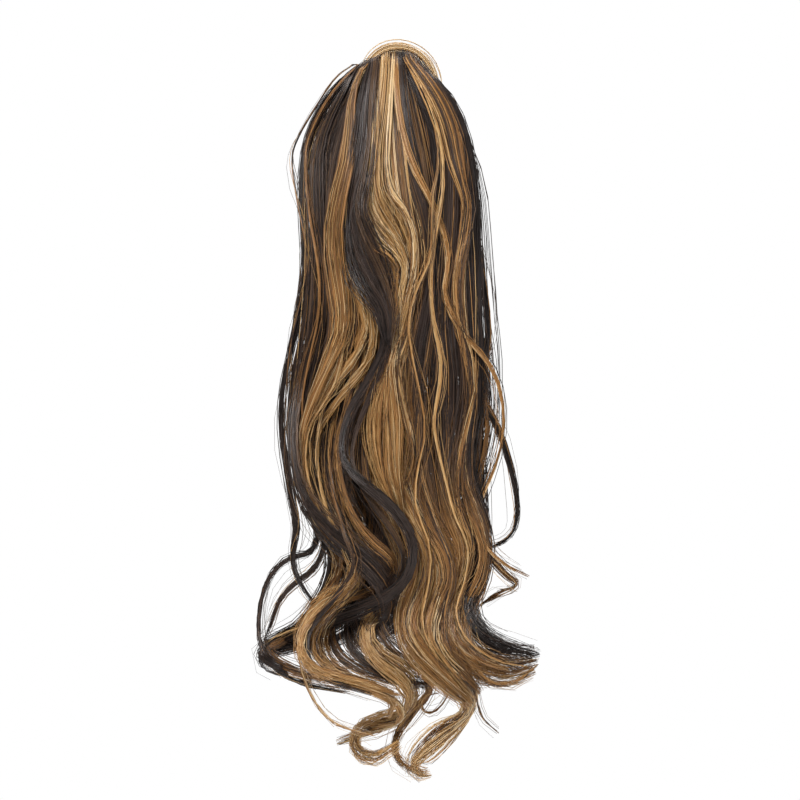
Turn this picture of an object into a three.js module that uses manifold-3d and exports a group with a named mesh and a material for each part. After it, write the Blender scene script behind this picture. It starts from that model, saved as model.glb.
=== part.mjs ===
// A wrap-around clip-in ponytail: a strap and a comb at the base, a pale lock wound round them,
// and a long wavy tail of dark brown locks with honey-blonde ones among them.
// Millimetres, +Z up. The origin is the middle of the base, where it clips on.
// The tail falls on the -Y side, and the hollow of the base opens towards +Y.
import * as THREE from "three";
import { mergeVertices } from "three/addons/utils/BufferGeometryUtils.js";
import Module from "manifold-3d";

const wasm = await Module();
wasm.setup();

// Base: the axis runs towards -Y and a little upwards
const BASE_TILT = 12;
const GAP = 0.4;
const HAIR_GAP = 0.9;
const STRAP_INNER_RADIUS = 15;
const STRAP_WALL = 1.6;
const STRAP_WIDTH = 24;
const STRAP_TURNS = 1.2;
const STRAP_STEPS = 44;

// Comb inside the top of the strap, with its teeth towards +Y
const COMB_RADIUS = 15.2;
const COMB_WALL = 1.6;
const COMB_ARC = 96;
const COMB_ARC_STEPS = 12;
const COMB_SPINE = 6;
const COMB_SPINE_BACK = -10;
const COMB_TEETH = 8;
const TOOTH_LENGTH = 20;
const TOOTH_ROOT_RADIUS = 0.75;
const TOOTH_TIP_RADIUS = 0.4;
const TOOTH_SIDES = 5;

// Lock wound round the strap
const WRAP_WIDTH = 12.4;
const WRAP_THICKNESS = 7.6;
const WRAP_FRONT_END = -118;
const WRAP_TURNS = 1.25;
const WRAP_FRONT = 6.6;
const WRAP_SIDES = 8;
const WRAP_STEPS = 36;
const WRAP_ENDS = [
  { along: 0, size: 0.3 },
  { along: 0.18, size: 0.9 },
  { along: 0.3, size: 1 },
  { along: 0.85, size: 1 },
  { along: 1, size: 0.4 },
];

// Head of the hair, just in front of the strap, and the strip that the honey locks grow from
const HEAD_PROFILE = [
  { radius: 0, along: 12.5 },
  { radius: 14.5, along: 12.5 },
  { radius: 17.8, along: 15 },
  { radius: 17.2, along: 18 },
  { radius: 12, along: 19.4 },
  { radius: 0, along: 19.4 },
];
const HEAD_SIDES = 20;
const DARK_ROOT = { radius: 12, along: 17 };
const HONEY_ROOT = { radius: 9, along: 22.6 };
const STRIP_ARC = [-62, 88];
const STRIP_HALF_WALL = 2.2;
const STRIP_DEPTH = 5;
const STRIP_STEPS = 14;

// Fall of the tail: the front and rear of the mass at each drop below the base, and how far it is
// draped round to the sides
const FALL = [
  { drop: 30, front: -47, rear: -29, drape: 1 },
  { drop: 65, front: -57, rear: -35, drape: 1 },
  { drop: 105, front: -62, rear: -38, drape: 0.9 },
  { drop: 165, front: -63, rear: -34, drape: 0.5 },
  { drop: 245, front: -62, rear: -26, drape: 0.25 },
  { drop: 335, front: -62, rear: -19, drape: 0.2 },
  { drop: 460, front: -60, rear: -15, drape: 0.2 },
];
const DRAPE_RADIUS = 80;
const FALL_STEP = 10;
const ROOT_REACH = 44;
const ROOT_SPLAY = 0.7;

// Waves: how far a lock winds forwards and back, where the soft wave and the end curl set in, and how
// its flat side turns with the bends
const WAVE_START = 110;
const WAVE_FULL = 230;
const CURL_START = 280;
const CURL_FULL = 385;
const WAVE_DEPTH = 8;
const CURL_DEPTH = 17;
const RIBBON_TURN = 58;
const TURN_RADIUS = 45;
const BEND_REACH = 12;

// Form of one lock from root to tip, as shares of its width
const LOCK_FORM = [
  { along: 0, width: 0.5, thickness: 0.4 },
  { along: 0.1, width: 0.72, thickness: 0.45 },
  { along: 0.25, width: 1, thickness: 0.44 },
  { along: 0.7, width: 1, thickness: 0.42 },
  { along: 0.92, width: 0.85, thickness: 0.36 },
  { along: 1, width: 0.4, thickness: 0.2 },
];
const WIDTH_PLACES = [0.15, 0.65, 0.95];
const LOCK_THICKEST = 8;
const LOCK_SIDES = 5;
const LOCK_STEP = 20;
const LOCK_STEP_SHARES = [
  { share: 0, along: 0 },
  { share: 0.2, along: 0.1 },
  { share: 0.33, along: 0.4 },
  { share: 1, along: 1 },
];
const HOOK_STEP = 25;
const FRONT = new THREE.Vector3(0, -1, 0);

// Main locks. layer, endLayer: 0 is the front of the tail and 1 its rear, at the top and at the end.
// clock: degrees round the base from its top, + to the right. x30 to x390: sideways place of the
// lock's middle line at that drop. tip: drop where its end bends away. root, belly, end: widths.
// hook, bend: degrees that the end curls on, + to the left, and the radius of that curl.
const SIDE_DROPS = [30, 70, 110, 150, 190, 230, 270, 310, 350, 390];
const LOCK_COLUMNS = [
  "tone", "layer", "endLayer", "clock",
  "x30", "x70", "x110", "x150", "x190", "x230", "x270", "x310", "x350", "x390",
  "tip", "root", "belly", "end", "hook", "bend",
];
const LOCK_ROWS = [
  ["dark", 0.5, 0.5, -92, -58, -65, -63, -65, -75, -77, -71, -69, -53, -40, 358, 9, 9, 8, 0, 0],
  ["dark", 0.5, 0.4, -82, -55, -62, -60, -61, -67, -72, -63, -57, -91, -92, 376, 8, 8, 8, -85, 22],
  ["dark", 0.5, 0.3, -72, -46, -54, -54, -54, -61, -65, -59, -44, -55, -70, 358, 10, 10, 10, 40, 55],
  ["dark", 0.4, 0.45, -62, -43, -50, -49, -49, -56, -62, -59, -27, -3, -10, 355, 18, 20, 14, 80, 24],
  ["honey", 0, 0.15, -50, -28, -38, -42, -38, -48, -63, -61, -43, -54, -50, 358, 9, 9, 8, -75, 30],
  ["honey", 0.1, -0.3, -38, -24, -32, -36, -24, -34, -59, -54, -34, -54, -54, 350, 7, 8, 13, -150, 32],
  ["dark", -0.35, -0.35, -28, -22, -29, -24, -10, -8, -8, -8, -8, -8, -8, 180, 15, 32, 9, 0, 0],
  ["dark", 0.15, -0.5, -14, -20, -26, -23, -10, -16, -36, -17, 11, -20, -40, 352, 7, 7, 11, 25, 70],
  ["honey", 0, 0, -12, -15, -16, -1, 1, -7, -9, -4, 12, 5, 10, 350, 10, 17, 17, -65, 55],
  ["honey", 0.5, 0.1, 0, -12, -15, -11, -5, -9, -15, -12, 2, -11, -1, 405, 7, 7, 10, 120, 15],
  ["honey", 0.25, 0.05, 12, -5, -3, 9, 7, 0, -2, 3, 20, 16, 26, 356, 8, 9, 15, -60, 50],
  ["honey", 0.4, 0, 26, -7, -5, 0, 5, 3, 2, 7, 24, 23, 42, 410, 7, 7, 13, 75, 38],
  ["dark", 0.35, 0.35, 48, 27, 33, 32, 29, 31, 32, 31, 44, 34, 45, 362, 18, 20, 20, -75, 42],
  ["honey", 0, 0.12, 60, 36, 44, 44, 43, 49, 45, 40, 50, 38, 45, 366, 11, 8, 8, -115, 32],
  ["dark", 0.45, 0.3, 78, 42, 49, 50, 51, 53, 47, 49, 57, 49, 55, 346, 11, 11, 15, -85, 34],
  ["dark", 0.6, 0.5, 98, 44, 51, 55, 61, 57, 65, 78, 78, 70, 70, 297, 9, 9, 9, 110, 11],
  ["dark", 0.7, 0.6, 180, -8, -10, -11, -9, -9, -9, -7, -11, -16, -10, 366, 14, 15, 14, -75, 45],
  ["dark", 0.75, 0.65, -125, -28, -33, -36, -35, -33, -30, -19, -4, -12, -20, 356, 14, 15, 14, 75, 45],
  ["dark", 0.75, 0.65, 130, 22, 28, 32, 33, 33, 32, 28, 30, 40, 50, 354, 14, 15, 14, -60, 50],
];

// Under locks: a row behind the main ones, spread evenly across the tail, with waves that shorten on
// the way down
const UNDER_COUNT = 5;
const UNDER_PITCH = 22;
const UNDER_CLOCK_STEP = 38;
const UNDER_LAYER = 0.9;
const UNDER_WIDTH = 27;
const UNDER_WAVE = 9;
const UNDER_CURL = 22;
const UNDER_CREST = 330;
const UNDER_LAG = 12;
const UNDER_TIP = 378;
const UNDER_TIP_STEP = 8;
const UNDER_SPREAD = [
  { drop: 30, spread: 0.72 },
  { drop: 100, spread: 1 },
  { drop: 260, spread: 1 },
  { drop: 390, spread: 1.08 },
];
const WAVE_LENGTH = 246;
const WAVE_SHORTENING = 0.35;

const GRID = 0.01;

const rad = THREE.MathUtils.degToRad;
const smoothstep = THREE.MathUtils.smoothstep;

// A point of the base, from its distance along the axis, its radius and its clock angle
function basePoint(along, radius, clock) {
  const tilt = rad(BASE_TILT);
  const up = radius * Math.cos(rad(clock));
  return new THREE.Vector3(
    radius * Math.sin(rad(clock)),
    -along * Math.cos(tilt) + up * Math.sin(tilt),
    along * Math.sin(tilt) + up * Math.cos(tilt),
  );
}

// A smooth value at place t through the given places and values
function through(places, values, t) {
  const last = places.length - 1;
  const found = places.findIndex((place) => place >= t);
  const i = THREE.MathUtils.clamp(found < 0 ? last : found, 1, last);
  const slope = (a, b) => (values[b] - values[a]) / (places[b] - places[a]);
  const span = places[i] - places[i - 1];
  const u = THREE.MathUtils.clamp((t - places[i - 1]) / span, 0, 1);
  const m0 = slope(Math.max(i - 2, 0), i) * span;
  const m1 = slope(i - 1, Math.min(i + 1, last)) * span;
  const v = 1 - u;
  return (
    values[i - 1] * v * v * (1 + 2 * u) + m0 * u * v * v +
    values[i] * u * u * (3 - 2 * u) - m1 * u * u * v
  );
}

function column(rows, name) {
  return rows.map((row) => row[name]);
}

function atColumn(rows, place, name, t) {
  return through(column(rows, place), column(rows, name), t);
}

function sideAt(lock, drop) {
  return through(SIDE_DROPS, lock.side, drop);
}

// How far a lock's middle line leans from straight down, + to the right
function leanAt(lock, drop) {
  return Math.atan((sideAt(lock, drop + 1) - sideAt(lock, drop - 1)) / 2);
}

// A value that grows from 0 to soft in the middle of the tail and to full at its end
function grown(drop, soft, full) {
  const wave = soft * smoothstep(drop, WAVE_START, WAVE_FULL);
  return wave + (full - soft) * smoothstep(drop, CURL_START, CURL_FULL);
}

// The middle line of a lock where it hangs
function fallPoint(lock, drop) {
  const x = sideAt(lock, drop);
  const front = atColumn(FALL, "drop", "front", drop);
  const rear = atColumn(FALL, "drop", "rear", drop);
  const drape = atColumn(FALL, "drop", "drape", drop) * ((x * x) / (2 * DRAPE_RADIUS));
  const layer = THREE.MathUtils.mapLinear(drop, 0, lock.tip, lock.layer, lock.endLayer);
  const winding = grown(drop, WAVE_DEPTH, CURL_DEPTH) * Math.sin(leanAt(lock, drop));
  return new THREE.Vector3(x, THREE.MathUtils.lerp(front, rear, layer) + drape - winding, -drop);
}

// The way that a lock's flat side faces where it hangs
function fallFacing(lock, drop) {
  const turn = leanAt(lock, drop - BEND_REACH) - leanAt(lock, drop + BEND_REACH);
  const sway = rad(RIBBON_TURN) * Math.tanh((TURN_RADIUS * turn) / (2 * BEND_REACH));
  const drape = atColumn(FALL, "drop", "drape", drop) * (sideAt(lock, drop) / DRAPE_RADIUS);
  return new THREE.Vector3(Math.sin(sway) + drape, -Math.cos(sway), 0).normalize();
}

// Middle line and facing of a whole lock: out of the base, down the fall, and round the end's hook
function lockLines(lock) {
  const root = lock.tone === "honey" ? HONEY_ROOT : DARK_ROOT;
  const start = basePoint(root.along, root.radius, lock.clock);
  const outward = basePoint(0, 1, lock.clock);
  const rootWay = basePoint(1 - ROOT_SPLAY * Math.abs(outward.x), 0, 0);
  rootWay.setX(ROOT_SPLAY * outward.x).normalize();
  const top = SIDE_DROPS[0];
  const landing = fallPoint(lock, top);
  const fallWay = fallPoint(lock, top + 1).sub(landing).normalize();
  const points = [];
  const facings = [];
  for (const u of [0, 0.25, 0.5, 0.75]) {
    const v = 1 - u;
    const point = start.clone().multiplyScalar(v * v * (1 + 2 * u));
    point.addScaledVector(rootWay, ROOT_REACH * u * v * v);
    point.addScaledVector(landing, u * u * (3 - 2 * u));
    point.addScaledVector(fallWay, -ROOT_REACH * u * u * v);
    points.push(point);
    facings.push(outward.clone().lerp(fallFacing(lock, top), u).normalize());
  }
  const falls = Math.round((lock.tip - top) / FALL_STEP);
  for (let i = 0; i <= falls; i++) {
    const drop = top + ((lock.tip - top) * i) / falls;
    points.push(fallPoint(lock, drop));
    facings.push(fallFacing(lock, drop));
  }
  const way = fallPoint(lock, lock.tip).sub(fallPoint(lock, lock.tip - 1)).normalize();
  const bends = Math.ceil(Math.abs(lock.hook) / HOOK_STEP);
  const turn = -rad(lock.hook) / bends;
  const chord = 2 * lock.bend * Math.sin(Math.abs(turn) / 2);
  way.setY(0).normalize();
  for (let i = 0; i < bends; i++) {
    way.applyAxisAngle(FRONT, turn);
    points.push(points.at(-1).clone().addScaledVector(way, chord));
    facings.push(facings.at(-1).clone());
  }
  return { line: new THREE.CatmullRomCurve3(points), facing: new THREE.CatmullRomCurve3(facings) };
}

// A closed bar with the given number of sides, bent to run along a line. place(t) gives its middle,
// its flat side's facing, and its half width and half thickness.
function bentBar(sides, steps, place) {
  const bar = new THREE.CylinderGeometry(1, 1, 1, sides, steps);
  const spots = bar.getAttribute("position");
  for (let i = 0; i < spots.count; i++) {
    const across = spots.getX(i);
    const t = spots.getY(i) + 0.5;
    const deep = spots.getZ(i);
    const { middle, way, facing, halfWidth, halfThickness } = place(t);
    const side = new THREE.Vector3().crossVectors(way, facing).normalize();
    const normal = new THREE.Vector3().crossVectors(side, way).normalize();
    const spot = middle.clone();
    spot.addScaledVector(side, across * halfWidth);
    spot.addScaledVector(normal, deep * halfThickness);
    spots.setXYZ(i, spot.x, spot.y, spot.z);
  }
  return bar;
}

// One lock, grown all round by extra
function lockGeometry(lock, extra) {
  const { line, facing } = lockLines(lock);
  const steps = Math.round(line.getLength() / LOCK_STEP);
  const endShift = (t) => (t > 0 && t < 1 ? 0 : Math.sign(t - 0.5) * extra);
  return bentBar(LOCK_SIDES, steps, (share) => {
    const t = atColumn(LOCK_STEP_SHARES, "share", "along", share);
    const width = through(WIDTH_PLACES, [lock.root, lock.belly, lock.end], t);
    const thickness = Math.min(atColumn(LOCK_FORM, "along", "thickness", t) * width, LOCK_THICKEST);
    return {
      middle: line.getPoint(t).addScaledVector(line.getTangent(t), endShift(t)),
      way: line.getTangent(t),
      facing: facing.getPoint(t),
      halfWidth: (atColumn(LOCK_FORM, "along", "width", t) * width) / 2 + extra,
      halfThickness: thickness / 2 + extra,
    };
  });
}

function mainLocks() {
  return LOCK_ROWS.map((row) => {
    const lock = Object.fromEntries(LOCK_COLUMNS.map((name, i) => [name, row[i]]));
    lock.side = SIDE_DROPS.map((drop) => lock["x" + drop]);
    return lock;
  });
}

// Waves passed between the base and a drop
function waveTurns(drop) {
  return Math.log(WAVE_LENGTH / (WAVE_LENGTH - WAVE_SHORTENING * drop)) / WAVE_SHORTENING;
}

function underSide(across, drop) {
  const crest = UNDER_CREST + UNDER_LAG * across;
  const swing = grown(drop, UNDER_WAVE, UNDER_CURL);
  const place = across * UNDER_PITCH * atColumn(UNDER_SPREAD, "drop", "spread", drop);
  return place + swing * Math.cos(2 * Math.PI * (waveTurns(drop) - waveTurns(crest)));
}

function underLocks() {
  return Array.from({ length: UNDER_COUNT }, (_, i) => {
    const across = i - (UNDER_COUNT - 1) / 2;
    return {
      tone: "dark",
      layer: UNDER_LAYER,
      endLayer: UNDER_LAYER,
      clock: 180 - across * UNDER_CLOCK_STEP,
      side: SIDE_DROPS.map((drop) => underSide(across, drop)),
      tip: UNDER_TIP - UNDER_TIP_STEP * Math.abs(across),
      root: UNDER_WIDTH,
      belly: UNDER_WIDTH,
      end: UNDER_WIDTH,
      hook: 0,
      bend: 0,
    };
  });
}

// Closed solids and back
function solidOf(geometry) {
  geometry.deleteAttribute("normal");
  geometry.deleteAttribute("uv");
  const merged = mergeVertices(geometry);
  const vertProperties = new Float32Array(merged.getAttribute("position").array);
  const triVerts = new Uint32Array(merged.getIndex().array);
  return new wasm.Manifold(new wasm.Mesh({ numProp: 3, vertProperties, triVerts }));
}

function geometryOf(solid) {
  const mesh = solid.getMesh();
  const geometry = new THREE.BufferGeometry();
  geometry.setAttribute("position", new THREE.BufferAttribute(mesh.vertProperties, 3));
  geometry.setIndex(new THREE.BufferAttribute(mesh.triVerts, 1));
  geometry.computeVertexNormals();
  return geometry;
}

function joined(geometries) {
  return geometries.map(solidOf).reduce((whole, piece) => whole.add(piece));
}

// The main piece of a joined or cut solid, with its vertices on a fine grid so that none nearly meet
function mainPiece(solid) {
  const geometry = geometryOf(solid);
  const spots = geometry.getAttribute("position");
  spots.array.forEach((value, i) => {
    spots.array[i] = Math.round(value / GRID) * GRID;
  });
  const pieces = solidOf(geometry).decompose();
  return pieces.reduce((best, piece) => (piece.volume() > best.volume() ? piece : best));
}

// A flat band bent round the base's axis, as an outline between two arcs
function arcBand(fromClock, toClock, steps, innerAt, wall) {
  const outer = [];
  const inner = [];
  for (let i = 0; i <= steps; i++) {
    const clock = rad(fromClock + ((toClock - fromClock) * i) / steps);
    const radius = innerAt(i / steps);
    const turned = new THREE.Vector2(Math.sin(clock), Math.cos(clock));
    inner.push(turned.clone().multiplyScalar(radius));
    outer.push(turned.clone().multiplyScalar(radius + wall));
  }
  return new THREE.Shape([...outer, ...inner.reverse()]);
}

function standing(shape, from, length) {
  const geometry = new THREE.ExtrudeGeometry(shape, { depth: length, bevelEnabled: false });
  return geometry.translate(0, 0, from);
}

function strapGeometry() {
  const pitch = STRAP_WALL + GAP;
  const radiusAt = (t) => STRAP_INNER_RADIUS + pitch * STRAP_TURNS * t;
  const band = arcBand(180, 180 + 360 * STRAP_TURNS, STRAP_STEPS, radiusAt, STRAP_WALL);
  return standing(band, -STRAP_WIDTH / 2, STRAP_WIDTH);
}

function combGeometry() {
  const inner = COMB_RADIUS - COMB_WALL;
  const spine = arcBand(-COMB_ARC / 2, COMB_ARC / 2, COMB_ARC_STEPS, () => inner, COMB_WALL);
  const pieces = [standing(spine, COMB_SPINE_BACK, COMB_SPINE)];
  const toothRadius = COMB_RADIUS - COMB_WALL / 2;
  for (let i = 0; i < COMB_TEETH; i++) {
    const clock = rad(COMB_ARC * ((i + 0.5) / COMB_TEETH - 0.5));
    const length = TOOTH_LENGTH + COMB_SPINE / 2;
    const tooth = new THREE.CylinderGeometry(TOOTH_ROOT_RADIUS, TOOTH_TIP_RADIUS, length, TOOTH_SIDES);
    tooth.rotateX(Math.PI / 2);
    tooth.translate(
      toothRadius * Math.sin(clock),
      toothRadius * Math.cos(clock),
      COMB_SPINE_BACK + COMB_SPINE / 2 - length / 2,
    );
    pieces.push(tooth);
  }
  return geometryOf(joined(pieces));
}

function wrapGeometry() {
  const strapOuter = STRAP_INNER_RADIUS + (STRAP_WALL + GAP) * STRAP_TURNS + STRAP_WALL;
  const pitch = WRAP_WIDTH + GAP;
  return bentBar(WRAP_SIDES, WRAP_STEPS, (t) => {
    const size = atColumn(WRAP_ENDS, "along", "size", t);
    const clock = rad(WRAP_FRONT_END + 360 * WRAP_TURNS * t);
    const radius = strapOuter + GAP + (size * WRAP_THICKNESS) / 2;
    const facing = new THREE.Vector3(Math.sin(clock), Math.cos(clock), 0);
    return {
      middle: facing.clone().multiplyScalar(radius).setZ(WRAP_FRONT - pitch * WRAP_TURNS * t),
      way: new THREE.Vector3(Math.cos(clock), -Math.sin(clock), 0),
      facing,
      halfWidth: (size * WRAP_WIDTH) / 2,
      halfThickness: (size * WRAP_THICKNESS) / 2,
    };
  });
}

// Turns a shape made round +Z so that +Z is the base's axis
function onBase(geometry) {
  return geometry.rotateX(rad(90 - BASE_TILT));
}

function headGeometry() {
  const profile = HEAD_PROFILE.map(({ radius, along }) => new THREE.Vector2(radius, along));
  const head = new THREE.LatheGeometry(profile, HEAD_SIDES);
  return onBase(head.rotateX(Math.PI / 2));
}

function stripGeometry(extra) {
  const wall = 2 * (STRIP_HALF_WALL + extra);
  const inner = HONEY_ROOT.radius - wall / 2;
  const more = THREE.MathUtils.radToDeg(extra / HONEY_ROOT.radius);
  const band = arcBand(STRIP_ARC[0] - more, STRIP_ARC[1] + more, STRIP_STEPS, () => inner, wall);
  const depth = STRIP_DEPTH + 2 * extra;
  return onBase(standing(band, HONEY_ROOT.along - depth / 2, depth));
}

function hairSolids() {
  const locks = [...mainLocks(), ...underLocks()];
  const honey = locks.filter((lock) => lock.tone === "honey");
  const dark = locks.filter((lock) => lock.tone === "dark");
  const honeyWith = (extra) => joined([
    stripGeometry(extra),
    ...honey.map((lock) => lockGeometry(lock, extra)),
  ]);
  const honeySolid = mainPiece(honeyWith(0));
  const room = honeyWith(HAIR_GAP).add(honeySolid);
  const darkWhole = joined([headGeometry(), ...dark.map((lock) => lockGeometry(lock, 0))]);
  return { honeySolid, darkSolid: mainPiece(darkWhole.subtract(room)) };
}

function named(name, geometry, color, roughness) {
  const material = new THREE.MeshStandardMaterial({ color, roughness, metalness: 0 });
  const mesh = new THREE.Mesh(geometry, material);
  mesh.name = name;
  return mesh;
}

const { honeySolid, darkSolid } = hairSolids();

const base = new THREE.Group();
base.rotation.x = rad(90 - BASE_TILT);
base.add(named("wrap_strap", strapGeometry(), "#2a2321", 0.9));
base.add(named("clip_comb", combGeometry(), "#231d1b", 0.5));
base.add(named("wrap_lock", wrapGeometry(), "#c9a06c", 0.45));

const ponytail = new THREE.Group();
ponytail.add(base);
ponytail.add(named("dark_locks", geometryOf(darkSolid), "#3b2f2a", 0.45));
ponytail.add(named("honey_locks", geometryOf(honeySolid), "#b98a52", 0.45));

export default ponytail;
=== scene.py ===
import math

import bpy
import numpy as np
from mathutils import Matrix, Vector


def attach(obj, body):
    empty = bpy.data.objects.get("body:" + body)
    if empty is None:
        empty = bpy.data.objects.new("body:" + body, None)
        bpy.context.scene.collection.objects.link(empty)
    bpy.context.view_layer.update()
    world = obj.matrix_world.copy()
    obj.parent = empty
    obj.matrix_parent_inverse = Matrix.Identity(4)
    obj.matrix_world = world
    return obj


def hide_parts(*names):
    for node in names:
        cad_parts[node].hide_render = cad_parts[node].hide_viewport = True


# Looks of a wrap-around clip-in ponytail: strands of hair that follow the locks of the solids.
# Lengths are millimetres until a mesh is made. +Z is up, and the tail falls on the -Y side.
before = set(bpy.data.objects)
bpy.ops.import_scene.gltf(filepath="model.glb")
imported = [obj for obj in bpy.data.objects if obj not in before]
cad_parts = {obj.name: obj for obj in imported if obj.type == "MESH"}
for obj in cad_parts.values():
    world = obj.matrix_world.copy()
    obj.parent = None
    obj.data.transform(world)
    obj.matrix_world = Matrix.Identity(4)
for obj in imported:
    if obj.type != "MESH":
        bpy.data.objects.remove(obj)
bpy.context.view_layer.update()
rng = np.random.default_rng(7)

MM = 0.001
SMALLEST = 1e-9

# The photograph's scale: the pixel of the origin and the size of a pixel at the hair
ORIGIN_PX = (398, 80)
PX_MM = 0.66

# Base: the axis runs towards -Y and a little upwards
BASE_TILT = math.radians(12)
GAP = 0.4
STRAP_OUTER_RADIUS = 19
WRAP_WIDTH = 12.4
WRAP_THICKNESS = 7.6
WRAP_FRONT_END = -118
WRAP_TURNS = 1.25
WRAP_FRONT = 6.6
WRAP_ENDS = {"along": (0, 0.18, 0.3, 0.85, 1), "size": (0.3, 0.9, 1, 1, 0.4)}
PAD_PROFILE = {"radius": (0.1, 14.5, 17.8, 17.2, 12, 0.1), "along": (12.5, 12.5, 15, 18, 19.4, 19.4)}

# Fall of the tail: the front and rear of the mass at each drop below the base, and how far it is
# draped round to the sides
FALL = {
    "drop": (-20, -8, 8, 30, 65, 105, 165, 245, 335, 460),
    "front": (-21, -31, -40, -47, -57, -62, -63, -62, -62, -60),
    "rear": (-15, -20, -25, -29, -35, -38, -34, -26, -19, -15),
    "drape": (0.1, 0.4, 0.8, 1, 1, 0.9, 0.5, 0.25, 0.2, 0.2),
}
DRAPE_RADIUS = 80
ROOT_RADIUS = 17
ROOT_ALONG = 17.5

# Waves: how far a lock winds forwards and back, where the soft wave and the end curl set in, and how
# its flat side turns with the bends
WAVE_START = 110
WAVE_FULL = 230
CURL_START = 280
CURL_FULL = 385
WAVE_DEPTH = 8
CURL_DEPTH = 17
RIBBON_TURN = math.radians(58)
TURN_RADIUS = 45

# Form of one lock from root to tip, as shares of its width
LOCK_FORM = {
    "along": (0, 0.1, 0.25, 0.85, 0.96, 1),
    "width": (0.5, 0.72, 1, 1, 0.85, 0.4),
    "thickness": (0.4, 0.32, 0.24, 0.22, 0.2, 0.16),
}
LOCK_THICKEST = 6
LINE_POINTS = 120
CURVE_STEPS = 16
SMOOTH_REACH = 4
ROOT_BLEND = 0.12

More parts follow.
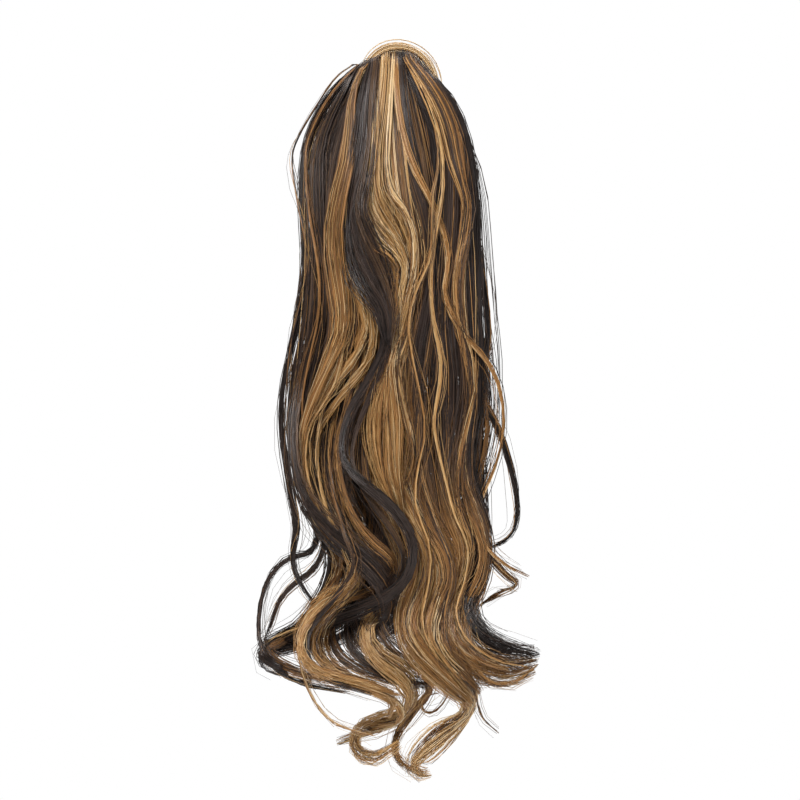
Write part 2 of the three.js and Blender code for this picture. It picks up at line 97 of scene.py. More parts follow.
# Locks that show, by name. tone, end_tone: its colours at the root and at the end. layers: its layer at
# the root and at the end, or shares of the way with the layer at each, from 0 for the front of the tail
# to 1 for its rear. widths: its width in millimetres, in the same way. path: the lock's middle line in
# the photograph, in pixels across and down.
PATH_COLUMNS = ("tone", "end_tone", "layers", "widths", "path")
PATH_ROWS = {
    # Dark locks of the left side
    "left_edge": ("dark", "dark", (0.5, 0.5), (5, 4), (
        (362, 61), (342, 76), (320, 104), (304, 140), (300, 190), (304, 262), (294, 329), (282, 385),
        (281, 432), (290, 490), (297, 530), (292, 562), (302, 590), (322, 615))),
    "left_wide": ("dark", "dark", ((0, 0.35), (0.5, 0.35), (0.64, -0.1), (1, 0.2)), (
        (0, 14), (0.35, 10), (0.48, 5), (0.64, 5), (0.74, 12), (1, 12)), (
        (364, 60), (344, 90), (326, 126), (318, 170), (320, 262), (315, 325), (301, 372), (292, 425),
        (295, 470), (308, 504), (334, 534), (362, 556), (384, 582), (390, 608), (376, 636), (352, 652))),
    "left_inside": ("dark", "dark", ((0, 0.3), (0.5, 0.4), (1, 0.15)), (12, 7), (
        (367, 59), (350, 95), (338, 138), (329, 185), (328, 262), (330, 320), (321, 366), (310, 410),
        (307, 460), (318, 504), (344, 538), (374, 562), (396, 586), (398, 612), (384, 634))),
    # Honey locks of the left side, which meet in the big curl at the end
    "left_honey": ("honey", "honey", ((0, -0.2), (0.3, -0.15), (0.5, 0), (0.65, 0.3), (1, 0.1)), (
        (0, 6), (0.12, 7), (0.25, 12), (0.4, 9), (0.5, 5), (0.7, 6), (1, 3.5)), (
        (366, 58), (353, 90), (349, 125), (346, 160), (338, 195), (333, 225), (333, 256), (340, 311),
        (337, 339), (326, 366), (304, 424), (300, 458), (306, 490), (332, 545), (338, 572), (314, 616),
        (313, 648), (334, 668), (394, 690))),
    "big_curl": ("bright", "bright", ((0, 0.12), (0.45, 0.1), (0.62, 0.35), (0.72, -0.3), (1, -0.3)), (
        (0, 4), (0.66, 4), (0.75, 10), (1, 9)), (
        (371, 57), (362, 120), (349, 190), (343, 240), (352, 281), (365, 319), (361, 344), (346, 368),
        (318, 406), (306, 440), (308, 474), (330, 520), (350, 556), (350, 582), (318, 606), (300, 636),
        (304, 658), (322, 671), (364, 683), (393, 699), (387, 718))),
    "big_curl_second": ("honey", "gold", ((0, 0.3), (0.45, 0.1), (0.62, 0.35), (0.75, -0.15), (1, -0.2)),
        (4, 5), (
        (374, 57), (364, 150), (358, 210), (368, 290), (374, 336), (366, 366), (336, 402), (318, 432),
        (311, 466), (322, 512), (348, 552), (356, 580), (332, 606), (313, 636), (316, 655), (336, 671),
        (376, 683), (400, 692))),
    "big_curl_line": ("honey", "dark", ((0, 0.42), (0.6, 0.35), (0.72, -0.38), (1, -0.36)), (
        (0, 3.5), (0.7, 2.5), (1, 3)), (
        (369, 58), (354, 150), (344, 220), (346, 280), (352, 335), (340, 390), (329, 440), (330, 480),
        (344, 530), (355, 562), (338, 594), (313, 626), (309, 652), (326, 674), (372, 690))),
    # The dark swathe down the middle, and the winding dark locks under it
    "swathe": ("deep", "deep", (-0.16, -0.12), (
        (0, 8), (0.25, 10), (0.42, 13), (0.6, 21), (0.74, 28), (0.88, 18), (1, 7)), (
        (374, 56), (367, 100), (363, 150), (357, 192), (355, 219), (361, 247), (371, 275), (380, 297),
        (386, 317), (388, 345))),
    "bend_amber": ("amber", "amber", ((0, 0.5), (0.5, 0.25), (0.7, 0.05), (1, 0)), (
        (0, 3), (0.5, 3), (0.7, 5), (0.9, 6), (1, 3)), (
        (370, 58), (358, 170), (352, 260), (360, 335), (348, 400), (336, 450), (341, 490), (354, 520),
        (370, 540), (389, 557), (393, 573), (374, 591), (342, 605))),
    "winding": ("deep", "deep", ((0, 0.2), (0.8, -0.36), (0.9, 0), (1, 0.3)), (
        (0, 4), (0.55, 4), (0.7, 8), (0.9, 10), (1, 10)), (
        (378, 56), (374, 110), (366, 170), (362, 220), (372, 280), (384, 320), (382, 350), (366, 382),
        (350, 408), (342, 436), (343, 458), (354, 474), (386, 499), (408, 526), (414, 550), (406, 580),
        (380, 602), (346, 618), (306, 633), (260, 653))),
    "winding_second": ("deep", "dark", ((0, 0.3), (0.85, -0.2), (1, 0.1)), (3.5, 4), (
        (380, 56), (376, 150), (370, 230), (384, 300), (388, 345), (372, 390), (356, 430), (352, 462),
        (366, 492), (392, 528), (404, 556), (396, 584), (370, 606), (332, 624))),
    # Honey locks of the middle: the upper band, the lower flame, and the mass at the end
    "upper_band": ("bright", "honey", (-0.05, 0.05), ((0, 8), (0.3, 9), (0.6, 17), (0.75, 10), (1, 3)), (
        (384, 54), (378, 100), (372, 145), (371, 180), (376, 208), (388, 232), (400, 252), (406, 272),
        (402, 300), (397, 325), (392, 356))),
    "lower_flame": ("honey", "gold", (0.2, -0.05), ((0, 5), (0.65, 5), (0.8, 22), (0.88, 18), (1, 3)), (
        (388, 54), (384, 120), (380, 190), (392, 250), (402, 300), (396, 335), (388, 362), (385, 390),
        (384, 420), (385, 450), (390, 482), (402, 520))),
    "mass_left": ("honey", "gold", (0.25, 0), ((0, 5), (0.65, 6), (0.85, 17), (1, 11)), (
        (386, 55), (382, 130), (382, 200), (396, 260), (402, 305), (395, 350), (388, 400), (386, 450),
        (391, 490), (405, 525), (416, 556), (412, 584), (405, 610), (405, 632), (416, 653), (440, 678),
        (470, 704))),
    "mass_middle": ("honey", "gold", (0.3, 0.02), ((0, 4), (0.65, 5), (0.85, 14), (1, 10)), (
        (391, 54), (390, 130), (398, 205), (412, 245), (412, 290), (402, 340), (396, 390), (394, 440),
        (398, 480), (412, 516), (428, 550), (430, 580), (423, 608), (421, 632), (430, 655), (450, 680),
        (474, 702))),
    "ribbon": ("honey", "bright", (0.4, 0), ((0, 4), (0.6, 5), (0.75, 12), (0.9, 16), (1, 14)), (
        (388, 55), (386, 150), (394, 230), (406, 290), (404, 350), (400, 410), (402, 460), (416, 510),
        (436, 552), (440, 584), (433, 612), (432, 636), (444, 662), (466, 686), (471, 708), (456, 728),
        (424, 756), (413, 767), (418, 775), (430, 773))),
    "ring": ("honey", "bright", (0.5, 0.1), ((0, 4), (0.6, 5), (0.75, 13), (0.9, 9), (1, 9)), (
        (386, 56), (378, 140), (374, 210), (388, 280), (390, 340), (378, 400), (372, 460), (386, 515),
        (402, 552), (400, 584), (382, 608), (368, 626), (368, 642), (380, 659), (402, 676), (412, 698),
        (403, 717), (380, 727), (360, 734), (354, 746), (364, 757), (382, 755), (400, 742))),
    "end_curl": ("honey", "gold", (0.45, 0.25), ((0, 4), (0.6, 5), (0.8, 9), (1, 9)), (
        (388, 56), (382, 150), (386, 240), (398, 300), (396, 350), (390, 410), (390, 460), (402, 512),
        (422, 552), (424, 584), (416, 612), (412, 634), (418, 656), (428, 676), (430, 696), (414, 716),
        (398, 740), (396, 758), (410, 770), (427, 774))),
    "small_loop": ("amber", "gold", (0.5, 0.3), (2, 2.5), (
        (392, 56), (392, 150), (400, 240), (408, 300), (404, 360), (402, 420), (406, 470), (420, 515),
        (438, 552), (438, 584), (428, 612), (428, 638), (440, 660), (450, 682), (446, 704), (432, 718),
        (422, 712), (426, 698), (440, 694))),
    "mass_right": ("mixed", "amber", (0.3, 0.05), ((0, 5), (0.6, 7), (0.85, 14), (1, 10)), (
        (394, 54), (398, 130), (410, 205), (424, 255), (420, 310), (410, 360), (408, 410), (410, 460),
        (424, 510), (446, 550), (452, 584), (444, 612), (444, 640), (458, 664), (482, 692))),
    "band_edge": ("honey", "honey", (-0.02, 0.1), (4, 3), (
        (392, 53), (388, 110), (386, 160), (391, 192), (402, 208), (411, 228), (414, 250), (413, 275),
        (404, 310), (398, 350), (402, 400), (411, 436), (413, 465), (405, 490), (396, 510))),
    "band_thin": ("honey", "honey", (0.1, 0), (3, 3), (
        (396, 53), (400, 120), (408, 200), (416, 260), (410, 320), (398, 370), (405, 415), (413, 450),
        (411, 478), (400, 500), (398, 530))),
    # The right side
    "long_thin": ("honey", "honey", (0.02, 0.2), ((0, 4), (0.3, 3), (0.45, 2), (1, 1.6)), (
        (395, 54), (397, 100), (404, 140), (417, 176), (434, 208), (445, 240), (447, 265), (444, 292),
        (452, 315), (466, 336), (486, 358), (499, 384), (504, 412), (503, 440), (495, 470), (482, 502),
        (479, 525), (488, 548), (508, 566), (530, 577))),
    "pale_left": ("pale", "pale", (-0.12, -0.05), (1.5, 1.4), (
        (404, 56), (424, 98), (437, 135), (438, 170), (432, 200), (433, 235), (430, 260), (416, 292),
        (409, 322), (411, 345), (417, 376), (424, 410), (425, 440), (418, 470), (416, 505),
        (430, 548), (428, 588), (422, 622), (438, 660), (466, 694))),
    "pale_right": ("pale", "pale", (-0.1, 0), (1.5, 1.2), (
        (408, 57), (430, 104), (442, 148), (443, 195), (436, 230), (431, 280), (434, 325), (441, 360),
        (438, 395), (433, 422), (440, 460), (447, 487), (454, 515),
        (468, 548), (464, 584), (456, 612), (468, 640), (498, 660), (528, 666))),
    "flank_first": ("dark", "honey", (0.15, 0.15), ((0, 9), (0.7, 9), (1, 12)), (
        (398, 54), (403, 120), (412, 170), (424, 215), (430, 260), (424, 310), (416, 350), (414, 400),
        (420, 450), (426, 490), (432, 525), (436, 560), (428, 594), (420, 625), (426, 655), (446, 682),
        (468, 700))),
    "flank_second": ("dark", "honey", (0.3, 0.15), (12, 12), (
        (402, 56), (424, 98), (438, 145), (443, 200), (438, 270), (433, 330), (438, 390), (442, 440),
        (440, 480), (450, 520), (462, 552), (456, 586), (445, 615), (450, 642), (474, 666), (510, 676))),
    "flank_third": ("dark", "honey", (0.22, 0.2), ((0, 12), (0.7, 12), (1, 16)), (
        (412, 59), (434, 92), (448, 130), (455, 180), (453, 250), (449, 305), (453, 355), (455, 400),
        (450, 440), (446, 475), (456, 510), (470, 545), (464, 580), (450, 612), (452, 640), (470, 662),
        (504, 677), (535, 670))),
    "upper_right": ("amber", "amber", ((0, -0.03), (0.6, 0), (1, 0.2)), (
        (0, 8), (0.27, 11), (0.45, 7), (0.6, 4), (1, 2)), (
        (408, 57), (426, 78), (442, 105), (452, 132), (458, 160), (464, 188), (468, 206), (466, 232),
        (461, 262), (458, 290), (461, 325), (468, 362), (471, 396), (466, 426))),
    "right_amber": ("amber", "amber", (0.1, 0.12), ((0, 4), (0.4, 3), (1, 3)), (
        (412, 58), (432, 84), (448, 112), (458, 145), (464, 190), (465, 240), (462, 290), (464, 325),
        (471, 361), (475, 391), (470, 418), (463, 448), (458, 480), (462, 515), (474, 546), (468, 580),
        (456, 608), (456, 636), (470, 662), (494, 684), (520, 680), (538, 665))),
    "flip_mixed": ("dark", "mixed", (0.35, 0.2), ((0, 5), (0.8, 8), (1, 12)), (
        (422, 66), (452, 110), (466, 170), (470, 250), (472, 330), (474, 400), (467, 450), (467, 490),
        (476, 530), (476, 566), (462, 602), (464, 634), (486, 657), (516, 665), (537, 661))),
    "edge_honey": ("dark", "honey", ((0, 0.3), (0.6, 0.15), (1, 0)),
        ((0, 4), (0.6, 5), (0.8, 10), (1, 6)), (
        (416, 61), (446, 105), (462, 165), (468, 250), (470, 330), (472, 395), (466, 445), (467, 485),
        (479, 520), (487, 550), (483, 580), (472, 606), (467, 632), (478, 655), (508, 668))),
    "flip_dark": ("dark", "dark", (0.4, 0.15), ((0, 9), (0.7, 9), (0.92, 16), (1, 14)), (
        (420, 63), (446, 92), (462, 125), (471, 170), (474, 240), (475, 305), (479, 355), (475, 400),
        (467, 440), (470, 480), (480, 515), (484, 548), (474, 580), (466, 606), (475, 630), (500, 648),
        (540, 656))),
    "right_edge": ("dark", "dark", (0.6, 0.5), ((0, 4), (0.5, 4), (1, 6)), (
        (424, 67), (452, 96), (468, 135), (475, 185), (478, 240), (488, 300), (489, 345), (480, 380),
        (485, 405), (497, 428), (509, 462), (518, 500), (517, 530), (505, 546), (490, 552))),
    "loop_mixed": ("mixed", "amber", (0.5, 0.4), (5, 4), (
        (418, 62), (446, 100), (462, 160), (465, 240), (467, 320), (480, 385), (486, 430), (478, 475),
        (472, 515), (484, 548), (506, 576), (520, 588), (500, 598), (480, 612))),
    "loop_honey": ("honey", "honey", (0.4, 0.3), (2, 2), (
        (414, 59), (446, 110), (464, 180), (466, 260), (468, 340), (474, 400), (470, 450), (474, 500),
        (484, 545), (500, 568), (518, 588), (500, 600), (486, 608))),
    # Loops and flips at the lower left
    "loop_outer": ("dark", "dark", (0.5, 0.4), (5, 5), (
        (360, 62), (335, 90), (312, 132), (304, 185), (308, 260), (304, 330), (291, 390), (290, 440),
        (302, 490), (316, 530), (310, 555), (288, 562), (270, 578), (260, 602), (257, 630), (260, 652),
        (272, 669), (294, 682), (322, 689), (350, 693))),
    "loop_inner": ("dark", "dark", (0.4, 0.25), (5, 5), (
        (362, 62), (338, 95), (316, 135), (309, 190), (313, 262), (307, 345), (297, 395), (296, 445),
        (308, 495), (324, 538), (314, 571), (294, 588), (278, 606), (270, 630), (263, 648))),
    "flip_lower": ("dark", "deep", (0.55, 0.3), ((0, 5), (0.75, 9), (0.9, 12), (1, 8)), (
        (368, 60), (346, 120), (332, 190), (330, 262), (332, 330), (322, 390), (318, 440), (326, 490),
        (350, 534), (372, 562), (372, 590), (350, 616), (318, 636), (288, 650), (263, 656),
        (264, 666), (288, 676))),
    "behind_curl": ("dark", "mixed", (0.6, 0.35), ((0, 4), (0.8, 6), (1, 8)), (
        (370, 59), (350, 140), (340, 240), (342, 330), (330, 400), (324, 455), (336, 510), (356, 555),
        (356, 590), (338, 614), (330, 634), (338, 656), (362, 672), (396, 684))),
    "behind_amber": ("dark", "amber", (0.6, 0.4), ((0, 3), (0.8, 5), (1, 5)), (
        (371, 59), (354, 140), (346, 240), (348, 330), (336, 400), (328, 455), (338, 510), (352, 556),
        (346, 592), (330, 616), (325, 640), (333, 663), (352, 677))),
    "underside": ("dark", "mixed", (0.5, 0.3), ((0, 4), (0.8, 6), (0.9, 9), (1, 7)), (
        (364, 62), (340, 110), (322, 160), (318, 240), (318, 320), (306, 380), (300, 430), (306, 480),
        (322, 520), (336, 556), (330, 590), (306, 624), (280, 646), (264, 654), (274, 664), (300, 674),
        (328, 681), (356, 686))),
    "behind_ribbon": ("dark", "dark", (0.6, 0.5), (6, 9), (
        (372, 58), (354, 140), (346, 240), (350, 330), (340, 400), (336, 460), (350, 520), (366, 560),
        (358, 598), (346, 628), (352, 654), (376, 672), (408, 686), (431, 686))),
    "flip_upper": ("dark", "deep", (0.45, 0.3), ((0, 7), (0.8, 9), (0.9, 12), (1, 8)), (
        (363, 61), (340, 98), (322, 140), (315, 200), (318, 260), (316, 320), (306, 370), (300, 420),
        (303, 470), (316, 515), (332, 550), (330, 580), (318, 608), (299, 633), (278, 647), (260, 655),
        (263, 663), (282, 670))),
    "flip_pale": ("pale", "pale", (0.25, 0.1), (2, 2), (
        (366, 61), (350, 130), (340, 210), (343, 300), (338, 360), (322, 410), (316, 460), (326, 510),
        (346, 556), (350, 590), (336, 614), (308, 629), (284, 637), (262, 648))),
    # Thin strands and ends
    "thin_left": ("mixed", "mixed", (0.3, 0.4), (1, 1), (
        (356, 60), (335, 75), (315, 104), (297, 134), (290, 158), (296, 199), (304, 240), (305, 275),
        (297, 312), (289, 352), (285, 395))),
    "amber_left": ("amber", "amber", (0.15, 0.2), (1.6, 1.2), (
        (360, 60), (338, 82), (321, 106), (308, 134), (304, 160), (308, 212), (318, 275), (317, 320),
        (308, 362), (302, 400), (303, 440))),
    "low_tip": ("honey", "bright", (0.5, 0), ((0, 4), (0.8, 4), (0.9, 8), (1, 8)), (
        (372, 58), (362, 170), (358, 260), (367, 340), (350, 405), (341, 455), (348, 505), (363, 548),
        (360, 584), (336, 608), (321, 634), (324, 658), (346, 678), (378, 690), (400, 704), (402, 721),
        (384, 733), (360, 741), (336, 749))),
    "pale_curl": ("pale", "pale", (0.2, -0.1), (2, 1), (
        (368, 60), (356, 140), (344, 230), (346, 320), (334, 385), (310, 425), (306, 470), (324, 522),
        (343, 560), (326, 594), (302, 622), (298, 658), (308, 690), (326, 716), (348, 727), (376, 733))),
    "right_tip": ("mixed", "mixed", (0.2, 0), (3, 2), (
        (400, 55), (412, 140), (430, 240), (432, 320), (420, 400), (418, 460), (434, 520), (452, 570),
        (444, 620), (452, 665), (474, 690), (481, 716), (499, 733))),
}

# Locks that fill the tail behind those, with the same columns. Their ends sweep sideways.
INNER_ROWS = {
    "middle": ("mixed", "mixed", (0.5, 0.4), (11, 12), (
        (388, 54), (384, 150), (382, 250), (386, 340), (384, 430), (388, 510), (380, 560), (372, 600),
        (382, 640), (412, 668), (452, 682), (492, 686))),
    "left_flip": ("dark", "dark", (0.6, 0.5), (11, 12), (
        (370, 58), (352, 140), (344, 240), (346, 340), (352, 430), (372, 500), (392, 550), (388, 596),
        (362, 628), (330, 648), (300, 658), (276, 652))),
    "right_flip": ("dark", "dark", (0.6, 0.5), (11, 12), (
        (416, 60), (436, 140), (446, 240), (448, 340), (446, 430), (440, 500), (444, 560), (456, 604),
        (480, 634), (510, 650), (536, 650))),
    "left_sweep": ("dark", "dark", (0.6, 0.45), (10, 11), (
        (364, 60), (340, 140), (330, 240), (332, 340), (322, 430), (328, 510), (348, 560), (350, 604),
        (366, 640), (396, 666), (428, 690))),
    "left_rear": ("dark", "dark", (0.75, 0.7), (12, 13), (
        (360, 64), (332, 130), (318, 240), (316, 340), (312, 430), (322, 510), (342, 560), (338, 600),
        (312, 628), (290, 640))),
    "right_rear": ("dark", "dark", (0.75, 0.7), (12, 13), (
        (424, 66), (452, 130), (464, 240), (470, 340), (475, 430), (479, 510), (481, 560), (472, 600),
        (478, 630), (502, 650))),
    "left_middle": ("dark", "dark", (0.7, 0.6), (12, 13), (
        (376, 58), (362, 140), (354, 240), (356, 340), (346, 430), (340, 480), (352, 530), (366, 570),
        (356, 606), (330, 632))),
    "middle_left": ("dark", "mixed", (0.75, 0.6), (12, 13), (
        (384, 58), (374, 150), (366, 250), (364, 340), (364, 430), (376, 510), (370, 560), (352, 600),
        (356, 640), (380, 664))),
    "middle_right": ("dark", "mixed", (0.75, 0.6), (12, 13), (
        (408, 58), (416, 150), (420, 250), (418, 340), (416, 430), (420, 510), (424, 560), (414, 600),
        (424, 640), (456, 668))),
}

# Under locks: a row behind the others, spread evenly across the tail, with waves that shorten on the
# way down
UNDER_COUNT = 5
UNDER_TOP = 14
UNDER_PITCH = 22
UNDER_LAYER = 0.9
UNDER_WIDTH = 27
UNDER_WAVE = 9
UNDER_CURL = 22
UNDER_CREST = 330
UNDER_LAG = 12
UNDER_TIP = 378
UNDER_TIP_STEP = 25
UNDER_SPREAD = {"drop": (14, 30, 100, 260, 390), "spread": (0.3, 0.72, 1, 1, 1.08)}
WAVE_LENGTH = 246
WAVE_SHORTENING = 0.35

# Tones of a lock's strands, from 0 for near black to 1 for palest: the share of the strands, and the
# mean and spread of their tone
TONES = {
    "deep": ((0.96, 0.085, 0.035), (0.04, 0.25, 0.05)),
    "dark": ((0.87, 0.095, 0.045), (0.1, 0.26, 0.06), (0.03, 0.48, 0.08)),
    "mixed": ((0.5, 0.15, 0.06), (0.3, 0.36, 0.07), (0.2, 0.6, 0.1)),
    "amber": ((0.2, 0.18, 0.06), (0.4, 0.44, 0.07), (0.4, 0.62, 0.07)),
    "honey": ((0.1, 0.2, 0.06), (0.26, 0.46, 0.07), (0.4, 0.67, 0.07), (0.24, 0.85, 0.05)),
    "gold": ((0.08, 0.24, 0.06), (0.35, 0.5, 0.06), (0.45, 0.66, 0.06), (0.12, 0.81, 0.05)),
    "bright": ((0.05, 0.3, 0.06), (0.2, 0.57, 0.06), (0.5, 0.73, 0.06), (0.25, 0.86, 0.05)),
    "pale": ((0.6, 0.74, 0.06), (0.4, 0.58, 0.08)),
    "wrap": ((0.7, 0.93, 0.04), (0.3, 0.8, 0.08)),
    "wisp": ((0.5, 0.1, 0.05), (0.27, 0.42, 0.08), (0.23, 0.76, 0.07)),
}

DARK_TONES = ("deep", "dark", "mixed")
LIGHT_TONES = ("amber", "honey", "gold", "bright", "pale")

# Where along a lock its tone changes to that of its end
TONE_FADE = (0.5, 0.82)

# Locks between neighbours among those that show
BETWEEN_BACK = 4
BETWEEN_WIDTH = 9
BETWEEN_LEAST_WIDTH = 7
BETWEEN_LEAST_DROP = 300
BETWEEN_END = 0.62

# Strands of each kind. points, spacing: the most rings of a strand, and the length for each. per_mm,
# least: strands for each millimetre of a lock's width, and the fewest. wander: how far they sway.
# radius: the thinnest and the thickest.
STRAND_COLUMNS = ("points", "spacing", "per_mm", "least", "wander", "radius")
STRAND_ROWS = {
    "path": (32, 9, 7.6, 8, 0.6, (0.18, 0.33)),
    "between": (20, 12, 2.6, 12, 1, (0.18, 0.33)),
    "inner": (26, 12, 4, 12, 0.9, (0.18, 0.33)),
    "under": (26, 12, 4.2, 12, 0.9, (0.18, 0.33)),
    "wrap": (44, 4, 16, 12, 0.2, (0.18, 0.33)),
    "wisp": (30, 10, 0.5, 3, 3, (0.18, 0.28)),
    "fly": (28, 12, 0.85, 3, 5, (0.11, 0.17)),
}

# How strands spread across a lock, gather in clumps, wander, thin and end
STRAND_SIDES = 3
SECTION_SPREAD = 0.62
SECTION_REACH = 1.7
CLUMP_WIDTH = 2.2
CLUMP_HOLD = 0.34
CLUMP_WANDER = 1
WANDER_WIDTH = 6
CLUMP_TONE = 0.05
CLUMP_SHARE = 0.72
CLUMP_GATHERS = (0.15, 0.95)
CLUMP_DEPTH = 0.5
WANDER_DEPTH = 0.7
WAVER_TURNS = (0.8, 2.4)
WAVER_GROWS = (0.04, 0.6)
ROOT_SIZE = 0.7
ROOT_FULL = 0.1
TIP_SIZE = 0.6
TIP_START = 0.9
TIP_STAGGER = 0.06
BEND_SHARE = 0.5

# Core under the strands of the inner, under and wound locks, and the root pad
CORE_POINTS = 48
CORE_SIDES = 10
CORE_SIZE = 0.78
CORE_END = 0.9
CORE_THINS = 0.6
CORE_THINNING = 0.8
CORE_TONES = {"dark": 0.06, "mixed": 0.12, "wrap": 0.8}
PAD_SIDES = 28

# Map: the rows that a core takes, and the share of a strand's row left free at each side
CORE_MAP_ROWS = 40
MAP_MARGIN = 0.1

# Hair fibre: the colour of each tone, its shine, and the streaks along it
HAIR_RAMP = (
    (0.0, (0.012, 0.0085, 0.0075)),
    (0.15, (0.05, 0.031, 0.024)),
    (0.38, (0.16, 0.085, 0.037)),
    (0.5, (0.232, 0.106, 0.034)),
    (0.66, (0.365, 0.186, 0.062)),
    (0.82, (0.555, 0.35, 0.15)),
    (1.0, (0.78, 0.65, 0.44)),
)
RAMP_MIDDLE = 0.5
HAIR_SHINE = {"dark_hair": 0.42, "honey_hair": 0.32, "wrap_hair": 0.25}
HAIR_ROUGHNESS = 0.36
HAIR_BUMP = {"Strength": 0.5, "Distance": 0.0004}
STREAKS_ALONG = 5
STREAK_STRENGTH = 0.16
STREAK_NOISE = {"Scale": 1.0, "Detail": 2.0}

# Strap cloth and comb plastic
STRAP_COLOURS = ((0.012, 0.009, 0.008, 1), (0.05, 0.04, 0.035, 1))
STRAP_ROUGHNESS = 0.9
STRAP_BUMP = {"Strength": 0.6, "Distance": 0.0005}
WEAVE = {"Scale": 420.0, "Distortion": 1.5}
PILE = {"Scale": 900.0, "Detail": 3.0}
COMB_COLOURS = ((0.014, 0.01, 0.008, 1), (0.04, 0.027, 0.02, 1))
COMB_ROUGHNESS = (0.35, 0.55)
MOTTLE = {"Scale": 160.0, "Detail": 4.0}

# Camera, floor and lights, in metres and watts, with the sensor in millimetres
CAMERA_DISTANCE = 2.2
CAMERA_ELEVATION = math.radians(2)
IMAGE_PX = 800
SENSOR = 36
HAIR_PLANE = -0.06
FLOOR_LEVEL = -0.62
FLOOR_RADIUS = 0.8
FLOOR_SIDES = 96
FLOOR_COLOUR = (0.92, 0.92, 0.92, 1)
FLOOR_ROUGHNESS = 0.9
AMBIENT = 0.22
LIGHT_COLUMNS = ("name", "place", "size", "power")
LIGHT_ROWS = (
    ("key", (-0.45, -1.25, 1.0), 0.7, 44),
    ("fill", (1.1, -1.3, 0.1), 1.0, 8),
    ("top", (0.1, 0.3, 1.1), 0.8, 9),
    ("rear", (0.4, 1.5, 0.3), 1.0, 14),
)


def unit(vectors):
    return vectors / np.maximum(np.linalg.norm(vectors, axis=-1, keepdims=True), SMALLEST)


def ease(value, start, end):
    u = np.clip((value - start) / (end - start), 0, 1)
    return u * u * (3 - 2 * u)


def through(places, values, t):
    """A smooth value at each t, through the given places and values."""
    places = np.asarray(places, float)
    values = np.asarray(values, float)
    last = len(places) - 1
    i = np.clip(np.searchsorted(places, t), 1, last)
    before = np.maximum(i - 2, 0)
    after = np.minimum(i + 1, last)
    span = places[i] - places[i - 1]
    u = np.clip((t - places[i - 1]) / span, 0, 1)
    v = 1 - u
    m0 = (values[i] - values[before]) / (places[i] - places[before]) * span
    m1 = (values[after] - values[i - 1]) / (places[after] - places[i - 1]) * span
    rise = values[i - 1] * v * v * (1 + 2 * u) + m0 * u * v * v
    return rise + values[i] * u * u * (3 - 2 * u) - m1 * u * u * v


def smooth_line(points, count):
    """A curve through the points, as evenly spaced points."""
    points = np.asarray(points, float)
    places = np.arange(len(points))
    fine = np.linspace(0, len(points) - 1, CURVE_STEPS * len(points))
    curve = np.stack([through(places, column, fine) for column in points.T], -1)
    steps = np.linalg.norm(np.diff(curve, axis=0), axis=1)
    length = np.concatenate([[0], np.cumsum(steps)])
    even = np.linspace(0, length[-1], count)
    return np.stack([np.interp(even, length, column) for column in curve.T], -1)


def base_point(along, radius, clock):
    """A point of the base, from its distance along the axis, its radius and its clock angle."""
    up = radius * np.cos(clock)
    return np.stack(np.broadcast_arrays(
        radius * np.sin(clock),
        up * math.sin(BASE_TILT) - along * math.cos(BASE_TILT),
        up * math.cos(BASE_TILT) + along * math.sin(BASE_TILT),
    ), -1)


def fall(name, drop):
    return through(FALL["drop"], FALL[name], drop)


def depth_at(layer, x, drop):
    front = fall("front", drop)
    rear = fall("rear", drop)
    return front + (rear - front) * layer + fall("drape", drop) * x * x / (2 * DRAPE_RADIUS)


def stations(values):
    """Places along a lock and the values there, from the values at its two ends or from pairs."""
    return zip(*values) if isinstance(values[0], tuple) else ((0, 1), values)


def lock_along(points, facing, tones, widths, kind):
    """A lock: its middle line, the ways across it and out of it, and its half sizes."""
    way = unit(np.gradient(points, axis=0))
    side = unit(np.cross(way, facing))
    along = np.linspace(0, 1, len(points))
    places, sizes = stations(widths)
    half = through(places, sizes, along) / 2
    thickness = through(LOCK_FORM["along"], LOCK_FORM["thickness"], along)
    return {
        "points": points,
        "side": side,
        "normal": np.cross(side, way),
        "half_width": through(LOCK_FORM["along"], LOCK_FORM["width"], along) * half,
        "half_thickness": np.minimum(half * thickness, LOCK_THICKEST / 2),
        "tones": tones,
        "width": max(sizes),
        "kind": kind,
    }


def smoothed(values):
    padded = np.pad(values, SMOOTH_REACH, mode="edge")
    window = 2 * SMOOTH_REACH + 1
    return np.convolve(padded, np.ones(window) / window, mode="valid")


def grown(drop, soft, full):
    """A value that grows from 0 to soft in the middle of the tail and to full at its end."""
    return soft * ease(drop, WAVE_START, WAVE_FULL) + (full - soft) * ease(drop, CURL_START, CURL_FULL)


def hanging_lock(flat, tones, layers, widths, kind):
    """A lock that leaves the base and hangs, from its middle line seen from behind."""
    x, drop = smooth_line(flat, LINE_POINTS).T
    share = np.linspace(0, 1, LINE_POINTS)
    step = math.hypot(x[1] - x[0], drop[1] - drop[0])
    across = smoothed(np.gradient(x, step))
    down = smoothed(np.gradient(drop, step))
    bend = smoothed(across * np.gradient(down, step) - down * np.gradient(across, step))
    layer = through(*stations(layers), share)
    winding = grown(drop, WAVE_DEPTH, CURL_DEPTH) * across
    points = np.stack([x, depth_at(layer, x, drop) - winding, -drop], -1)
    clock = math.atan2(x[0], -drop[0])
    root = base_point(ROOT_ALONG, ROOT_RADIUS, clock)
    sway = RIBBON_TURN * np.tanh(TURN_RADIUS * bend)
    lean = np.sin(sway) + fall("drape", drop) * x / DRAPE_RADIUS
    facing = unit(np.stack([lean, -np.cos(sway), np.zeros(LINE_POINTS)], -1))
    rooted = ease(share, 0, ROOT_BLEND)[:, None]
    facing = unit(base_point(0, 1, clock) * (1 - rooted) + facing * rooted)
    points = smooth_line(np.concatenate([[root], points[1:]]), LINE_POINTS)
    return lock_along(points, facing, tones, widths, kind)


